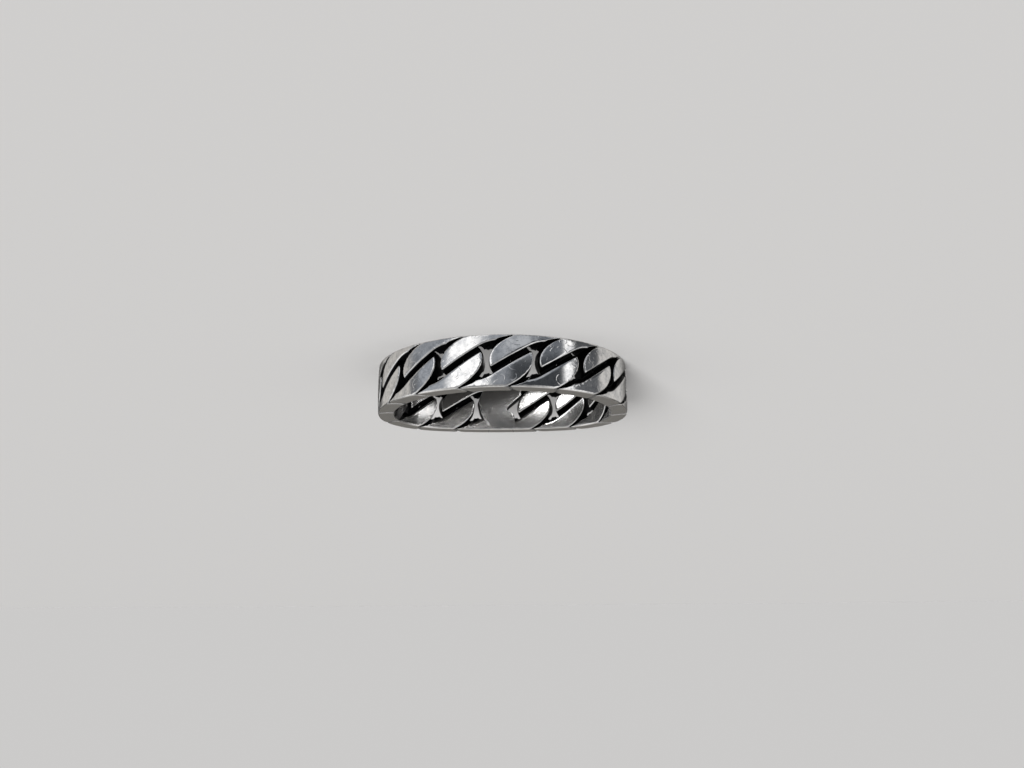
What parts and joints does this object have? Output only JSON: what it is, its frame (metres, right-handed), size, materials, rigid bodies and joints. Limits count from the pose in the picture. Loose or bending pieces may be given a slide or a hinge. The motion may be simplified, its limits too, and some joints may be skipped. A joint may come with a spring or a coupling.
{
  "type": "woven ring",
  "caption": "Finger ring: a closed band of flattened, twisted curb links with diagonal slots, flat rims and a plain solid joint plate at the back.",
  "frame": {"origin": "centre of the band's footprint on the surface it lies on", "axes": "+Z along the finger axis, up from the surface; -Y towards the front of the ring, the joint plate at +Y; +X to the right seen from the front"},
  "size_m": [0.0234, 0.0196, 0.0045],
  "materials": {
    "silver": "polished faces, brushed rims, blackened recesses"
  },
  "bodies": {
    "root": {"link_01": "silver", "link_02": "silver", "link_03": "silver", "link_04": "silver", "link_05": "silver", "link_06": "silver", "link_07": "silver", "link_08": "silver", "link_09": "silver", "link_10": "silver", "link_11": "silver", "link_12": "silver", "link_13": "silver", "link_14": "silver", "joint_plate": "silver"}
  },
  "joints": []
}
